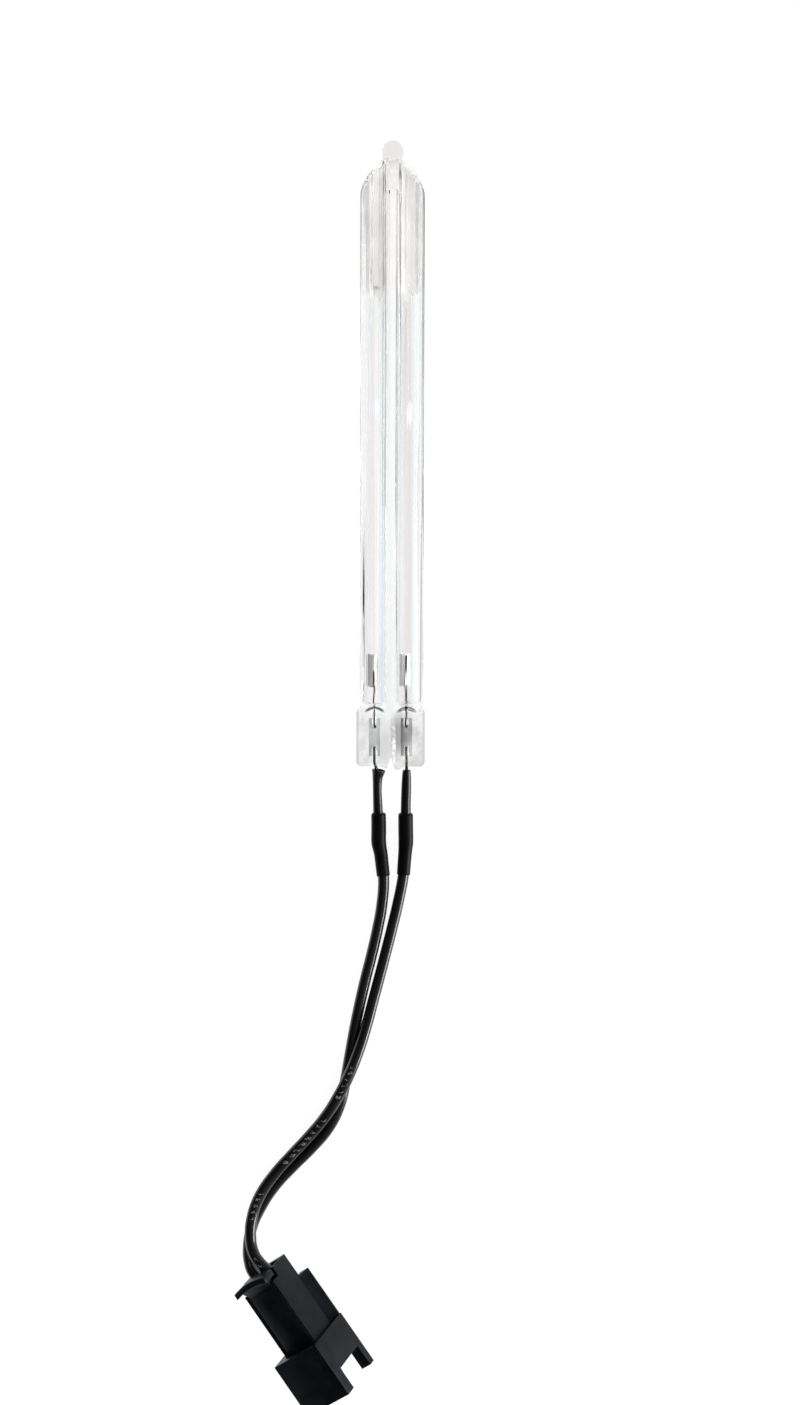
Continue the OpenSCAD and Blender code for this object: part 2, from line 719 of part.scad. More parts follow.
module housing_cuts() {
    socket_w = shroud_w - 2 * shroud_wall;
    slot_w = lever_w + 2 * lever_side_gap;
    translate([-socket_w / 2, socket_y, shroud_floor])
        cube([socket_w, socket_depth + past, roof_z - shroud_floor]);
    translate([-slot_w / 2, shroud_y - past, deck_z])
        cube([slot_w, socket_y - shroud_y + 2 * past, roof_z - deck_z]);
    translate([-shroud_w, plug_len - notch_len, shroud_floor])
        cube([2 * shroud_w, notch_len + past, shroud_h - notch_top - shroud_floor]);
    translate([notch_foot - shroud_w / 2, plug_len - notch_len, -past])
        cube([shroud_w - 2 * notch_foot, notch_len + past, shroud_floor + 2 * past]);
    translate([recess_wall - body_w / 2, -past, pin_z - wire_d])
        cube([body_w - 2 * recess_wall, recess_depth + past, wire_d + cavity_d / 2]);
    for (side = [LEFT, RIGHT]) {
        along_pin(side, -past) cylinder(d = cavity_d, h = box_end + hold_gap + past);
        pin_bar(side, shank_w + 2 * hold_gap, box_end, socket_y + past);
    }
}

module connector_housing() {
    color([0.11, 0.11, 0.12])
        in_plug()
            difference() {
                union() {
                    translate([-body_w / 2, 0, body_lift])
                        cube([body_w, shroud_y + past, deck_z - body_lift]);
                    for (x = [-body_w / 2, body_w / 2 - side_wall])
                        translate([x, wall_start, deck_z - past])
                            cube([side_wall, shroud_y - wall_start + past, lever_top - deck_z + past]);
                    side_rails();
                    rocker_rib();
                    translate([-shroud_w / 2, shroud_y, 0]) cube([shroud_w, shroud_len, shroud_h]);
                }
                housing_cuts();
            }
}

// Side outline of the catch, and of the slope in front of the thumb tab
module catch_outline() {
    polygon([
        [lever_front, lever_z + past], [lever_front, lever_z - hook_depth * 0.3],
        [lever_front - 0.4, lever_z - hook_depth], [lever_front - hook_len, lever_z - hook_depth],
        [lever_front - hook_len, lever_z + past]
    ]);
}

module slope_outline() {
    foot_y = tab_t + tab_slope;
    polygon([
        [tab_t * 0.2, lever_top - past], [foot_y, lever_top - past], [foot_y, lever_top],
        [tab_t * 0.4, lever_top + tab_slope], [tab_t * 0.2, lever_top + tab_slope]
    ]);
}

// Extrudes a side outline across the lever
module across_lever(w) {
    translate([-w / 2, 0, 0]) rotate([90, 0, 90]) linear_extrude(w) children();
}

module thumb_tab() {
    height = lever_t + tab_h;
    intersection() {
        translate([-body_w / 2, -body_w, lever_z]) cube([body_w, 2 * body_w, height]);
        translate([0, tab_centre_y, lever_z])
            difference() {
                cylinder(r = tab_round, h = height);
                translate([0, 0, -past]) cylinder(r = tab_round - tab_t, h = height + 2 * past);
            }
        translate([-body_w, -body_w, 0]) cube([2 * body_w, body_w + tab_t + 1, 2 * shroud_h]);
    }
}

module connector_latch() {
    blade_start = tab_t + 0.5;
    color([0.12, 0.12, 0.13])
        in_plug()
            difference() {
                union() {
                    thumb_tab();
                    intersection() {
                        translate([-lever_w / 2, -tab_round, lever_z])
                            cube([lever_w, tab_round + blade_start + 1, lever_t]);
                        translate([0, tab_centre_y, lever_z])
                            cylinder(r = tab_round - tab_t / 2, h = lever_t);
                    }
                    translate([-lever_w / 2, blade_start, lever_z])
                        cube([lever_w, lever_front - blade_start, lever_t]);
                    across_lever(lever_w) slope_outline();
                    across_lever(lever_w - 1) catch_outline();
                }
                translate([-body_w, pivot_y, lever_z]) rotate([0, 90, 0])
                    cylinder(r = pivot_r + run_gap, h = 2 * body_w);
            }
}

quartz_envelope();
electrode_cup(LEFT);  // left_electrode_cup
electrode_cup(RIGHT);  // right_electrode_cup
electrode_stem(LEFT);  // left_electrode_stem
electrode_stem(RIGHT);  // right_electrode_stem
seal_foil(LEFT);  // left_seal_foil
seal_foil(RIGHT);  // right_seal_foil
outer_lead(LEFT);  // left_outer_lead
outer_lead(RIGHT);  // right_outer_lead
mercury_drop();
lead_sleeve(LEFT);  // left_lead_sleeve
lead_sleeve(RIGHT);  // right_lead_sleeve
splice_crimp(LEFT);  // left_splice_crimp
splice_crimp(RIGHT);  // right_splice_crimp
splice_strands(LEFT);  // left_splice_strands
splice_strands(RIGHT);  // right_splice_strands
shrink_sleeve(LEFT);  // left_shrink_sleeve
shrink_sleeve(RIGHT);  // right_shrink_sleeve
wire(LEFT);  // left_wire
wire(RIGHT);  // right_wire
pin_strands(LEFT);  // left_pin_strands
pin_strands(RIGHT);  // right_pin_strands
terminal_pin(LEFT);  // left_terminal_pin
terminal_pin(RIGHT);  // right_terminal_pin
connector_housing();
connector_latch();
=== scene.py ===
# %% [markdown]
# # A twin-bore germicidal lamp tube, its two leads and its plug
#
# The lamp is a clear quartz tube with two bores side by side. It is closed by a dome at
# one end and by a flat pinch at the other, where two thin foils carry the current out.
# Two black wires run from there to a small plug with a rocking latch.
#
# Blender only dresses the part here. Every piece sits where the CAD solids are, so we
# begin by loading them.

# %% Load the CAD frame
import math

import bpy
from mathutils import Matrix, Vector


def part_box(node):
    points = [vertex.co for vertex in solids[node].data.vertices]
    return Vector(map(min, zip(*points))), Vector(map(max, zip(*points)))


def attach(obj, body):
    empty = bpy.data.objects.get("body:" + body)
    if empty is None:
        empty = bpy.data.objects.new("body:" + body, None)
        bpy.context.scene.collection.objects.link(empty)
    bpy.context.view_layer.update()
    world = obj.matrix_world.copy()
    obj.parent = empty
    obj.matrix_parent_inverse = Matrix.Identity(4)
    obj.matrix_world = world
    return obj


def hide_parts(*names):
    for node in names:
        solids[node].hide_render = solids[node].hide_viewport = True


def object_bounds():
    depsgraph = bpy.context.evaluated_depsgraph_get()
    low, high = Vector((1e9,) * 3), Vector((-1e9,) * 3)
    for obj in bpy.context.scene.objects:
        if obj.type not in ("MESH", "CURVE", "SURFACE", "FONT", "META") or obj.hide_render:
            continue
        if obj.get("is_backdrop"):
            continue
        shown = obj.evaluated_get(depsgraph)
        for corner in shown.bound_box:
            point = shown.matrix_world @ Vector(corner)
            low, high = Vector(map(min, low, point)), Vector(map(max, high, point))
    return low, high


SIDES = ("left", "right")
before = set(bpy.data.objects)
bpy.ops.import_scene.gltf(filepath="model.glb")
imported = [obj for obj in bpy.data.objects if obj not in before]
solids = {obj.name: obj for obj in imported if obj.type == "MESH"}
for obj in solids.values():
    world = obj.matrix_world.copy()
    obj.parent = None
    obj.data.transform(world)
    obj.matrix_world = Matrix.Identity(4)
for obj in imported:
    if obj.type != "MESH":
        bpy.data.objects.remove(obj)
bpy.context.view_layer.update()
bpy.ops.object.select_all(action="DESELECT")

# %% [markdown]
# ## The camera
#
# The photograph looks straight down at the lamp, which lies on a white sheet, so the
# camera stands above the lamp's middle and looks along -Z. A lens could be tried out by
# eye. Here it follows from two lengths, the height of the picture on the sheet and the
# distance to the sheet, so it stays right when one of them changes.

# %% Place the camera
CAMERA_PLACE = Vector((0.00147, -0.03342, 0.2525))
CAMERA_TURN = math.radians(0.201)
VIEW_HEIGHT = 0.2248
SENSOR_HEIGHT = 24
NEAREST_SEEN = 0.005

bpy.ops.object.camera_add(location=CAMERA_PLACE, rotation=(0, 0, CAMERA_TURN))
camera = bpy.context.object
camera.data.sensor_fit = "VERTICAL"
camera.data.sensor_height = SENSOR_HEIGHT
camera.data.lens = SENSOR_HEIGHT * CAMERA_PLACE.z / VIEW_HEIGHT
camera.data.clip_start = NEAREST_SEEN
bpy.context.scene.camera = camera
print("lens in mm:", round(camera.data.lens, 2))

# %% [markdown]
# ## Helpers for pieces
#
# A few short helpers are used for nearly every piece. Operators act on what is selected,
# so `pick` selects one thing and nothing else, and `edit` opens edit mode with only the
# wanted faces or corners selected. `metres` turns millimetres, which suit a part of this
# size, into Blender's metres.

# %% Helpers for selecting and shaping
def metres(points):
    """Points given in millimetres, as vectors in metres."""
    return [Vector(p) * 0.001 for p in points]


def pick(piece):
    """Selects this piece alone and makes it the active one."""
    bpy.ops.object.select_all(action="DESELECT")
    piece.hide_viewport = False
    piece.select_set(True)
    bpy.context.view_layer.objects.active = piece


def edit(piece, wanted, mode="FACE"):
    """Opens edit mode with those faces or corners selected for which wanted is true."""
    pick(piece)
    bpy.ops.object.mode_set(mode="EDIT")
    bpy.ops.mesh.select_mode(type=mode)
    bpy.ops.mesh.select_all(action="DESELECT")
    bpy.ops.object.mode_set(mode="OBJECT")
    for part in piece.data.polygons if mode == "FACE" else piece.data.vertices:
        part.select = wanted(part)
    bpy.ops.object.mode_set(mode="EDIT")


def leave_edit():
    bpy.ops.object.mode_set(mode="OBJECT")


def apply_modifier(piece, kind, **settings):
    """Adds a modifier, sets it and applies it to the mesh."""
    pick(piece)
    bpy.ops.object.modifier_add(type=kind)
    modifier = piece.modifiers[-1]
    for name, value in settings.items():
        setattr(modifier, name, value)
    bpy.ops.object.modifier_apply(modifier=modifier.name)


def smooth_under(piece, degrees):
    """Shades the piece smooth, apart from edges sharper than this."""
    pick(piece)
    bpy.ops.object.shade_smooth_by_angle(angle=math.radians(degrees))


def settle(piece):
    """Moves the piece's place, turn and scale into its mesh."""
    pick(piece)
    bpy.ops.object.transform_apply(location=True, rotation=True, scale=True)


def report(piece):
    size = [round(1000 * s, 2) for s in piece.dimensions]
    print(piece.name, "faces:", len(piece.data.polygons), "size in mm:", size)


# %% [markdown]
# A tube that follows a line could be extruded ring by ring, but a curve is easier: it has
# a round section, and each of its points has its own radius. Turning it into a mesh at
# the end gives clean rings and a UV map that runs along the tube.

# %% Helper for round tubes along a line
SAME_PLACE = 1e-6


def tube(name, points, radius, shares=None, capped=True, steps=6, roundness=7):
    """A round tube along points. shares are shares of the radius, one for each point."""
    bpy.ops.curve.primitive_bezier_curve_add(location=(0, 0, 0))
    piece = bpy.context.object
    piece.name = name
    curve = piece.data
    curve.splines.clear()
    row = curve.splines.new("BEZIER").bezier_points
    row.add(len(points) - 1)
    for i, (knot, place) in enumerate(zip(row, points)):
        knot.co = place
        knot.handle_left_type = knot.handle_right_type = "AUTO"
        knot.radius = shares[i] if shares else 1
    curve.resolution_u = steps
    curve.bevel_depth = radius
    curve.bevel_resolution = roundness
    curve.use_fill_caps = capped
    pick(piece)
    bpy.ops.object.convert(target="MESH")
    piece = bpy.context.object
    edit(piece, lambda face: True)
    bpy.ops.mesh.remove_doubles(threshold=SAME_PLACE)
    bpy.ops.mesh.normals_make_consistent(inside=False)
    leave_edit()
    smooth_under(piece, 40)
    return piece


# %% [markdown]
# ## The two wires
#
# The wires are limp, silicone-covered cords of 1.8 mm. They leave the shrunk sleeves,
# run side by side on the sheet, swing to the left, cross twice and climb into the back
# of the plug. Both are seen from end to end, so their lengths are the photograph's.
#
# A simulated cord would lie where it likes. These lie where the real ones do, because
# their points were chosen one by one, and the CAD solids take the same route. The points are
# in millimetres.

# %% Lay the wires
WIRE_RADIUS = 0.0009
ROUTES = {
    "left": metres([
        (-1.59, -57.19, 1.19), (-1.05, -61.1, 1.08), (-1.3, -65.6, 0.92), (-2, -69.6, 0.92),
        (-2.9, -73.6, 0.92), (-3.9, -77.6, 0.92), (-4.8, -81.6, 0.92), (-5.6, -85.6, 0.92),
        (-6.3, -89.6, 0.92), (-7, -93.6, 0.92), (-7.9, -97.6, 0.92), (-9.7, -101.3, 0.92),
        (-12.3, -104.4, 0.92), (-15.2, -107.3, 0.92), (-18, -110.3, 0.92),
        (-20.3, -113.7, 0.95), (-21.9, -117.3, 1.1), (-22.3, -120.1, 1.9),
        (-22, -121.9, 3.2), (-21.35, -123.1, 4.2), (-19.86, -124.38, 4.82),
        (-19.04, -125.51, 4.95),
    ]),
    "right": metres([
        (2.38, -57.2, 1.19), (2.1, -60.9, 1.08), (1.3, -65.2, 0.92), (0.4, -69.1, 0.92),
        (-0.6, -73.1, 0.92), (-1.6, -77, 0.92), (-2.6, -80.8, 1), (-3.6, -84.6, 1.5),
        (-4.8, -88.4, 2.3), (-6.3, -92.2, 2.8), (-8.1, -95.8, 2.8), (-10.2, -99.2, 2.4),
        (-12.7, -102.3, 2), (-15.4, -105.2, 2.1), (-18.1, -108.2, 2.3), (-20.4, -111.5, 2.8),
        (-21.6, -114.8, 3.1), (-21.8, -117.7, 3.7), (-21.2, -119.9, 4.8),
        (-20.1, -121.25, 5.5), (-18.1, -122.97, 5.9), (-17.27, -124.09, 6.02),
    ]),
}
WIRES = {}
for side, route in ROUTES.items():
    WIRES[side] = tube(side + "_lead_wire", route, WIRE_RADIUS)
    report(WIRES[side])

# %% [markdown]
# ## Helpers for materials
#
# Every finish is a small tree of shader nodes. Building one line by line takes a line for
# each node and each link. These helpers make a node and feed its sockets in one call,
# where a value can be a link from another node or a plain number. `span_mask` and
# `between` do what is wanted most: turn a value into a mask, and a mask into a value.

# %% Helpers for shader nodes
def grey(level):
    return (level, level, level, 1)


def feed(tree, socket, value):
    """Links another node's output into this socket, or sets it to a plain value."""
    if isinstance(value, bpy.types.NodeSocket):
        tree.links.new(value, socket)
    else:
        socket.default_value = value


def put(tree, kind, **values):
    """A new node. Its sockets are fed by name, or by number as i0, i1 and i2."""
    node = tree.nodes.new("ShaderNode" + kind)
    for title, value in values.items():
        if title in ("operation", "samples"):
            setattr(node, title, value)
        elif title in ("i0", "i1", "i2"):
            feed(tree, node.inputs[int(title[1])], value)
        else:
            feed(tree, node.inputs[title.replace("_", " ")], value)
    return node


def out(node, title=0):
    return node.outputs[title]


def calc(tree, operation, *values):
    """The result of a Math node on one or two values."""
    inputs = {"i" + str(i): value for i, value in enumerate(values)}
    return out(put(tree, "Math", operation=operation, **inputs))


def span_mask(tree, value, start, end):
    """0 up to start and 1 from end on. start may be the greater of the two."""
    return out(put(tree, "MapRange", Value=value, From_Min=start, From_Max=end))


def between(tree, share, first, last):
    """A value that runs from first to last while share runs from 0 to 1."""
    return out(put(tree, "MapRange", Value=share, To_Min=first, To_Max=last))


def blend_tones(tree, share, first, second):
    """The colour between first and second, each a socket or a colour."""
    node = tree.nodes.new("ShaderNodeMix")
    node.data_type = "RGBA"
    for socket, value in ((0, share), (6, first), (7, second)):
        feed(tree, node.inputs[socket], value)
    return node.outputs[2]


def object_place(tree):
    return out(put(tree, "TexCoord"), "Object")


def new_finish(name):
    """A new material, its node tree and its Principled shader."""
    mat = bpy.data.materials.new(name)
    mat.use_nodes = True
    return mat, mat.node_tree, mat.node_tree.nodes["Principled BSDF"]


# %% [markdown]
# ## The floor
#
# A plain white sheet lies under the lamp. It could be lit until it is white, but so much
# light would wash out the lamp. Instead the camera, reflections and what is seen through
# the glass get an even white from a little emission. The rest of its light is real, so
# the sheet still takes the soft shadow of the lamp.

# %% Lay the floor
SHEET_SIZE = 3
SHEET_TOP = -0.00002
SHEET_GLOW = 0.9
SHEET_COLOUR = grey(0.16)

bpy.ops.mesh.primitive_plane_add(size=SHEET_SIZE, location=(0, 0, SHEET_TOP))
sheet = bpy.context.object
sheet.name = "white_sheet"
settle(sheet)
sheet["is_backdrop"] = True

paper, tree, body = new_finish("white_sheet_paper")
path = put(tree, "LightPath")
seen = calc(tree, "MAXIMUM", out(path, "Is Camera Ray"), out(path, "Is Glossy Ray"))
seen = calc(tree, "MAXIMUM", seen, out(path, "Is Transmission Ray"))
body.inputs["Base Color"].default_value = SHEET_COLOUR
body.inputs["Roughness"].default_value = 0.9
body.inputs["Specular IOR Level"].default_value = 0
body.inputs["Emission Color"].default_value = grey(1)
feed(tree, body.inputs["Emission Strength"], calc(tree, "MULTIPLY", seen, SHEET_GLOW))
sheet.data.materials.append(paper)
print("sheet laid, glow:", SHEET_GLOW)

# %% [markdown]
# ## The light
#
# A long, low softbox on the right gives the highlights that run down the right side of
# the black wires, and a weaker one stands behind. A lamp from above would do for most
# objects, but here it would mirror in the flat top of the plug, which is nearly black.

# %% Hang the softboxes
def softbox(name, place, aim, size, power):
    """An area lamp of that size at place, which looks at the point aim."""
    bpy.ops.object.light_add(type="AREA", location=place)
    lamp = bpy.context.object
    lamp.name = name
    lamp.data.shape = "RECTANGLE"
    lamp.data.size, lamp.data.size_y = size
    lamp.data.energy = power
    direction = Vector(aim) - Vector(place)
    lamp.rotation_euler = direction.to_track_quat("-Z", "Y").to_euler()
    print(name, "of", power, "W at", place)


softbox("side_box", place=(0.55, -0.1, 0.11), aim=(0, -0.1, 0), size=(0.56, 0.2), power=5)
softbox("back_box", place=(-0.1, 0.6, 0.3), aim=(-0.002, -0.04, 0), size=(0.5, 0.2), power=0.5)

# %% [markdown]
# The room round the lamp is one even white for the camera and for what is seen through
# the glass. It is a bit dimmer where it only lights surfaces. In reflections it is dark
# on the left and brighter on the right, which leaves the black pieces black from above.

# %% Light the room
ROOM_LEVEL = 0.8
LEFT_IN_MIRRORS = 0.04
RIGHT_IN_MIRRORS = 0.42
LEFT_ENDS = -0.2

world = bpy.data.worlds.new("studio")
bpy.context.scene.world = world
world.use_nodes = True
tree = world.node_tree
air = tree.nodes["Background"]
way = put(tree, "SeparateXYZ", Vector=out(put(tree, "TexCoord"), "Generated"))
wall = put(tree, "MapRange", Value=out(way, "X"), From_Min=LEFT_ENDS, From_Max=1,
           To_Min=LEFT_IN_MIRRORS, To_Max=RIGHT_IN_MIRRORS)
path = put(tree, "LightPath")
mirrored = put(tree, "Mix", Factor=out(path, "Is Glossy Ray"), A=ROOM_LEVEL, B=out(wall))
through = calc(tree, "MAXIMUM", out(path, "Is Camera Ray"), out(path, "Is Transmission Ray"))
level = put(tree, "Mix", Factor=through, A=out(mirrored), B=1)
air.inputs["Color"].default_value = grey(1)
feed(tree, air.inputs["Strength"], out(level))
bpy.context.scene.view_settings.view_transform = "Standard"
print("room level:", ROOM_LEVEL, "in reflections:", LEFT_IN_MIRRORS, "to", RIGHT_IN_MIRRORS)

# %% [markdown]
# ## Surface effects that several finishes share
#
# Moulded plastic, rubber and metal all show fine grain, slow changes of tone and worn
# edges. Each effect could be built again in every material. As a node group with named
# inputs it is built once, and every finish uses it at its own scale. The groups only put
# out heights and masks, and the shader stays outside.

# %% Build the grain group
def new_group(name, takes, gives):
    """An empty node group with those inputs (name: value) and those outputs."""
    group = bpy.data.node_groups.new(name, "ShaderNodeTree")
    group.interface.new_socket("Vector", in_out="INPUT", socket_type="NodeSocketVector")
    for title, value in takes.items():
        made = group.interface.new_socket(title, in_out="INPUT", socket_type="NodeSocketFloat")
        made.default_value = value
    for title in gives:
        group.interface.new_socket(title, in_out="OUTPUT", socket_type="NodeSocketFloat")
    print("group:", name, "gives", gives)
    return group, group.nodes.new("NodeGroupInput"), group.nodes.new("NodeGroupOutput")


def use_group(tree, group, **values):
    """Places a node group in a tree and feeds its inputs."""
    node = tree.nodes.new("ShaderNodeGroup")
    node.node_tree = group
    for title, value in values.items():
        feed(tree, node.inputs[title.replace("_", " ")], value)
    return node


grain, takes, gives = new_group(
    "fine_grain", {"Grain Scale": 4000, "Patch Scale": 150}, ("Height", "Patches"))
fine = put(grain, "TexNoise", Vector=out(takes, "Vector"), Scale=out(takes, "Grain Scale"),
           Detail=3, Roughness=0.6)
broad = put(grain, "TexNoise", Vector=out(takes, "Vector"), Scale=out(takes, "Patch Scale"),
            Detail=4, Roughness=0.55)
feed(grain, gives.inputs["Height"], out(fine))
feed(grain, gives.inputs["Patches"], span_mask(grain, out(broad), 0.3, 0.7))

# %% [markdown]
# Worn edges are found by comparing the real normal with one that a Bevel node rounds
# off. Where the two differ there is an edge, and noise breaks the mask up so that the
# wear isn't an even line.

# %% Build the edge wear group
wear, takes, gives = new_group("edge_wear", {"Radius": 0.0002, "Patch Scale": 900}, ("Mask",))
rounded = put(wear, "Bevel", samples=6, Radius=out(takes, "Radius"))
surface = put(wear, "NewGeometry")
likeness = put(wear, "VectorMath", operation="DOT_PRODUCT", i0=out(rounded),
               i1=out(surface, "Normal"))
chips = put(wear, "TexNoise", Vector=out(takes, "Vector"), Scale=out(takes, "Patch Scale"),
            Detail=3)
edge = span_mask(wear, out(likeness, "Value"), 0.995, 0.85)
broken = span_mask(wear, out(chips), 0.35, 0.65)
feed(wear, gives.inputs["Mask"], calc(wear, "MULTIPLY", edge, broken))

# %% [markdown]
# Plastic and metal take the grain in the same way: it roughens the gloss in patches and
# raises a fine relief. This helper does both, and returns the patches for the colour.

# %% Helper for grained surfaces
def grained(tree, shader, place, rough, bump, depth, grain_scale, patch_scale):
    """Feeds the shader's roughness and normal from the grain, and returns its patches."""
    texture = use_group(tree, grain, Vector=place, Grain_Scale=grain_scale,
                        Patch_Scale=patch_scale)
    patches = out(texture, "Patches")
    relief = put(tree, "Bump", Height=out(texture, "Height"), Strength=bump, Distance=depth)
    feed(tree, shader.inputs["Roughness"], between(tree, patches, *rough))
    feed(tree, shader.inputs["Normal"], out(relief))
    return patches


# %% [markdown]
# ## Black plastics and rubbers
#
# The plug, the sleeves and the wires are all nearly black, and differ in gloss and grain.
# A material for each could be built by hand, but one recipe with a few values keeps them
# alike where they should be: a base colour that changes a little in patches and is paler
# on worn edges, over the grained surface.

# %% A recipe for black finishes
WORN_EDGE = grey(0.2)
BLACK_RELIEF = 0.00002


def black_finish(name, dark, light, rough, bump, gloss, grain_scale, patch_scale=150,
                 edge_share=0):
    """A black plastic or rubber. dark and light are its tones, rough a pair of values."""
    mat, tree, shader = new_finish(name)
    place = object_place(tree)
    patches = grained(tree, shader, place, rough, bump, BLACK_RELIEF, grain_scale, patch_scale)
    worn = use_group(tree, wear, Vector=place)
    at_edge = calc(tree, "MULTIPLY", out(worn, "Mask"), edge_share)
    tone = blend_tones(tree, patches, dark, light)
    feed(tree, shader.inputs["Base Color"], blend_tones(tree, at_edge, tone, WORN_EDGE))
    shader.inputs["Specular IOR Level"].default_value = gloss
    print("black finish:", name)
    return mat


WIRE_COVER = black_finish("wire_cover", grey(0.002), grey(0.0035), rough=(0.2, 0.27),
                          bump=0.15, gloss=0.6, grain_scale=3000)
SLEEVE_BLACK = black_finish("lead_sleeve_black", grey(0.002), grey(0.004), rough=(0.22, 0.3),
                            bump=0.15, gloss=0.42, grain_scale=2500)
SHRINK_BLACK = black_finish("shrunk_sleeve_black", grey(0.0018), grey(0.003),
                            rough=(0.34, 0.46), bump=0.25, gloss=0.1, grain_scale=1800)
# The plug's paler patches are bluish: partly random mottling of the plastic, partly painted
# sheen.
PLUG_BLACK = black_finish("plug_black", (0.0014, 0.0015, 0.0016, 1),
                          (0.0026, 0.005, 0.0085, 1), rough=(0.32, 0.44), bump=0.25,
                          gloss=0.13, grain_scale=3500, patch_scale=450, edge_share=0.08)

# %% [markdown]
# One wire carries a row of small pale marks. Tiny pieces laid on the wire would stand
# proud of it, so they are drawn in its material, as plain ticks: a mask of narrow bars
# across the wire's top, in four groups along it, broken up by noise as worn ink is.

# %% Add the plain tick marks
TICK_INK = (0.17, 0.175, 0.18, 1)
TICK_PITCH = 0.00095
TICK_SHARE = 0.4
TICK_GROUPS = ((-0.0965, -0.0905), (-0.1065, -0.099), (-0.1155, -0.111), (-0.1215, -0.118))


def marked_finish(source, name):
    """A copy of a finish with pale ticks in the Y spans of the groups, on the wire's top."""
    mat = source.copy()
    mat.name = name
    tree = mat.node_tree
    colour = tree.nodes["Principled BSDF"].inputs["Base Color"]
    plain = colour.links[0].from_socket
    coordinates = put(tree, "TexCoord")
    place = out(coordinates, "Object")
    along = out(put(tree, "SeparateXYZ", Vector=place), "Y")
    upward = out(put(tree, "SeparateXYZ", Vector=out(coordinates, "Normal")), "Z")
    phase = calc(tree, "FRACT", calc(tree, "DIVIDE", along, TICK_PITCH))
    uneven = put(tree, "TexNoise", Vector=place, Scale=1200, Detail=1)
    stroke = put(tree, "MapRange", Value=out(uneven), From_Min=0.35, From_Max=0.65,
                 To_Min=0.3 * TICK_SHARE, To_Max=1.5 * TICK_SHARE)
    in_group = 0
    for first, last in TICK_GROUPS:
        begun = calc(tree, "GREATER_THAN", along, first)
        ended = calc(tree, "LESS_THAN", along, last)
        in_group = calc(tree, "ADD", in_group, calc(tree, "MULTIPLY", begun, ended))
    worn_ink = put(tree, "TexNoise", Vector=place, Scale=4500, Detail=2)
    mask = span_mask(tree, upward, 0.9, 0.93)
    for part in (calc(tree, "LESS_THAN", phase, out(stroke)), in_group,
                 span_mask(tree, out(worn_ink), 0.45, 0.6)):
        mask = calc(tree, "MULTIPLY", mask, part)
    feed(tree, colour, blend_tones(tree, mask, plain, TICK_INK))
    return mat


COVERS = {"left": WIRE_COVER, "right": marked_finish(WIRE_COVER, "wire_cover_marked")}
print("tick groups:", len(TICK_GROUPS))

# %% [markdown]
# ## Metals
#
# Nickel electrodes, molybdenum foils, tungsten leads, tinned terminals and copper strands
# differ in colour, gloss and the direction of their marks, so one recipe serves them too.
# Rolled and drawn metal has fine lines along its length, which come from stretching the
# noise along the lamp's Y direction. The left cup has a darker nickel than the right.

# %% A recipe for metals
METAL_RELIEF = 0.00001
METAL_GRAIN = 5000
METAL_PATCHES = 600
ALONG_LAMP = (1, 0.08, 1)


def metal_finish(name, dark, light, rough, stretch=(1, 1, 1), bump=0.2):
    """A metal. stretch is the scale of its marks along X, Y and Z."""
    mat, tree, shader = new_finish(name)
    drawn = put(tree, "Mapping", Vector=object_place(tree), Scale=stretch)
    patches = grained(tree, shader, out(drawn), rough, bump, METAL_RELIEF, METAL_GRAIN,
                      METAL_PATCHES)
    feed(tree, shader.inputs["Base Color"], blend_tones(tree, patches, dark, light))
    shader.inputs["Metallic"].default_value = 1
    print("metal:", name)
    return mat


NICKEL = metal_finish("electrode_nickel", (0.34, 0.34, 0.33, 1), (0.58, 0.58, 0.57, 1),
                      rough=(0.42, 0.55), stretch=ALONG_LAMP)
PALE_NICKEL = metal_finish("electrode_nickel_pale", (0.74, 0.74, 0.73, 1),
                           (0.87, 0.87, 0.86, 1), rough=(0.5, 0.65), stretch=ALONG_LAMP)
FOIL_METAL = metal_finish("molybdenum_foil", grey(0.55), grey(0.78), rough=(0.5, 0.62),
                          stretch=ALONG_LAMP, bump=0.4)
LEAD_METAL = metal_finish("tungsten_lead", grey(0.015), (0.05, 0.05, 0.048, 1),
                          rough=(0.4, 0.5), stretch=ALONG_LAMP)
TINNED = metal_finish("tinned_terminal", (0.5, 0.49, 0.47, 1), (0.66, 0.65, 0.63, 1),
                      rough=(0.2, 0.32))
COPPER = metal_finish("tinned_copper_strands", (0.55, 0.4, 0.28, 1), (0.66, 0.6, 0.54, 1),
                      rough=(0.25, 0.4))
QUICKSILVER = metal_finish("mercury_bead", (0.7, 0.7, 0.72, 1), (0.76, 0.76, 0.78, 1),
                           rough=(0.04, 0.07), bump=0)

# %% [markdown]
# ## Quartz glass
#
# Fused quartz is clear, with hardly any colour of its own, but a real lamp is far from
# even. Its upper end is misted, the tip is a solid bead and the pinch is smoky and torn.
# The light that the glass bends is painted too: painted shade and painted highlights in
# long bands down the tube, painted shade on the tip, the rims and beside the seam, and
# painted highlights in small spots. A painted picture could carry all this. Masks that
# are worked out from Object coordinates need no file and stay sharp at any size, so each
# step below blends its tones into `tint` through such a mask.
#
# Quartz bends light by an index of 1.46. Solid glass with that index shows hard dark
# bands in a plain white studio, and the real lamp doesn't, so the index is lower here.

# %% Begin the quartz
QUARTZ_INDEX = 1.22

quartz, tree, glass = new_finish("quartz_glass")
glass.inputs["Transmission Weight"].default_value = 1
glass.inputs["IOR"].default_value = QUARTZ_INDEX
place = object_place(tree)
axes = put(tree, "SeparateXYZ", Vector=place)
across = out(axes, "X")
length = out(axes, "Y")
from_middle = calc(tree, "ABSOLUTE", across)
from_above = out(put(tree, "CombineXYZ", X=across, Y=length))
folded = out(put(tree, "CombineXYZ", X=from_middle, Y=length))
print("quartz begun, index:", QUARTZ_INDEX)
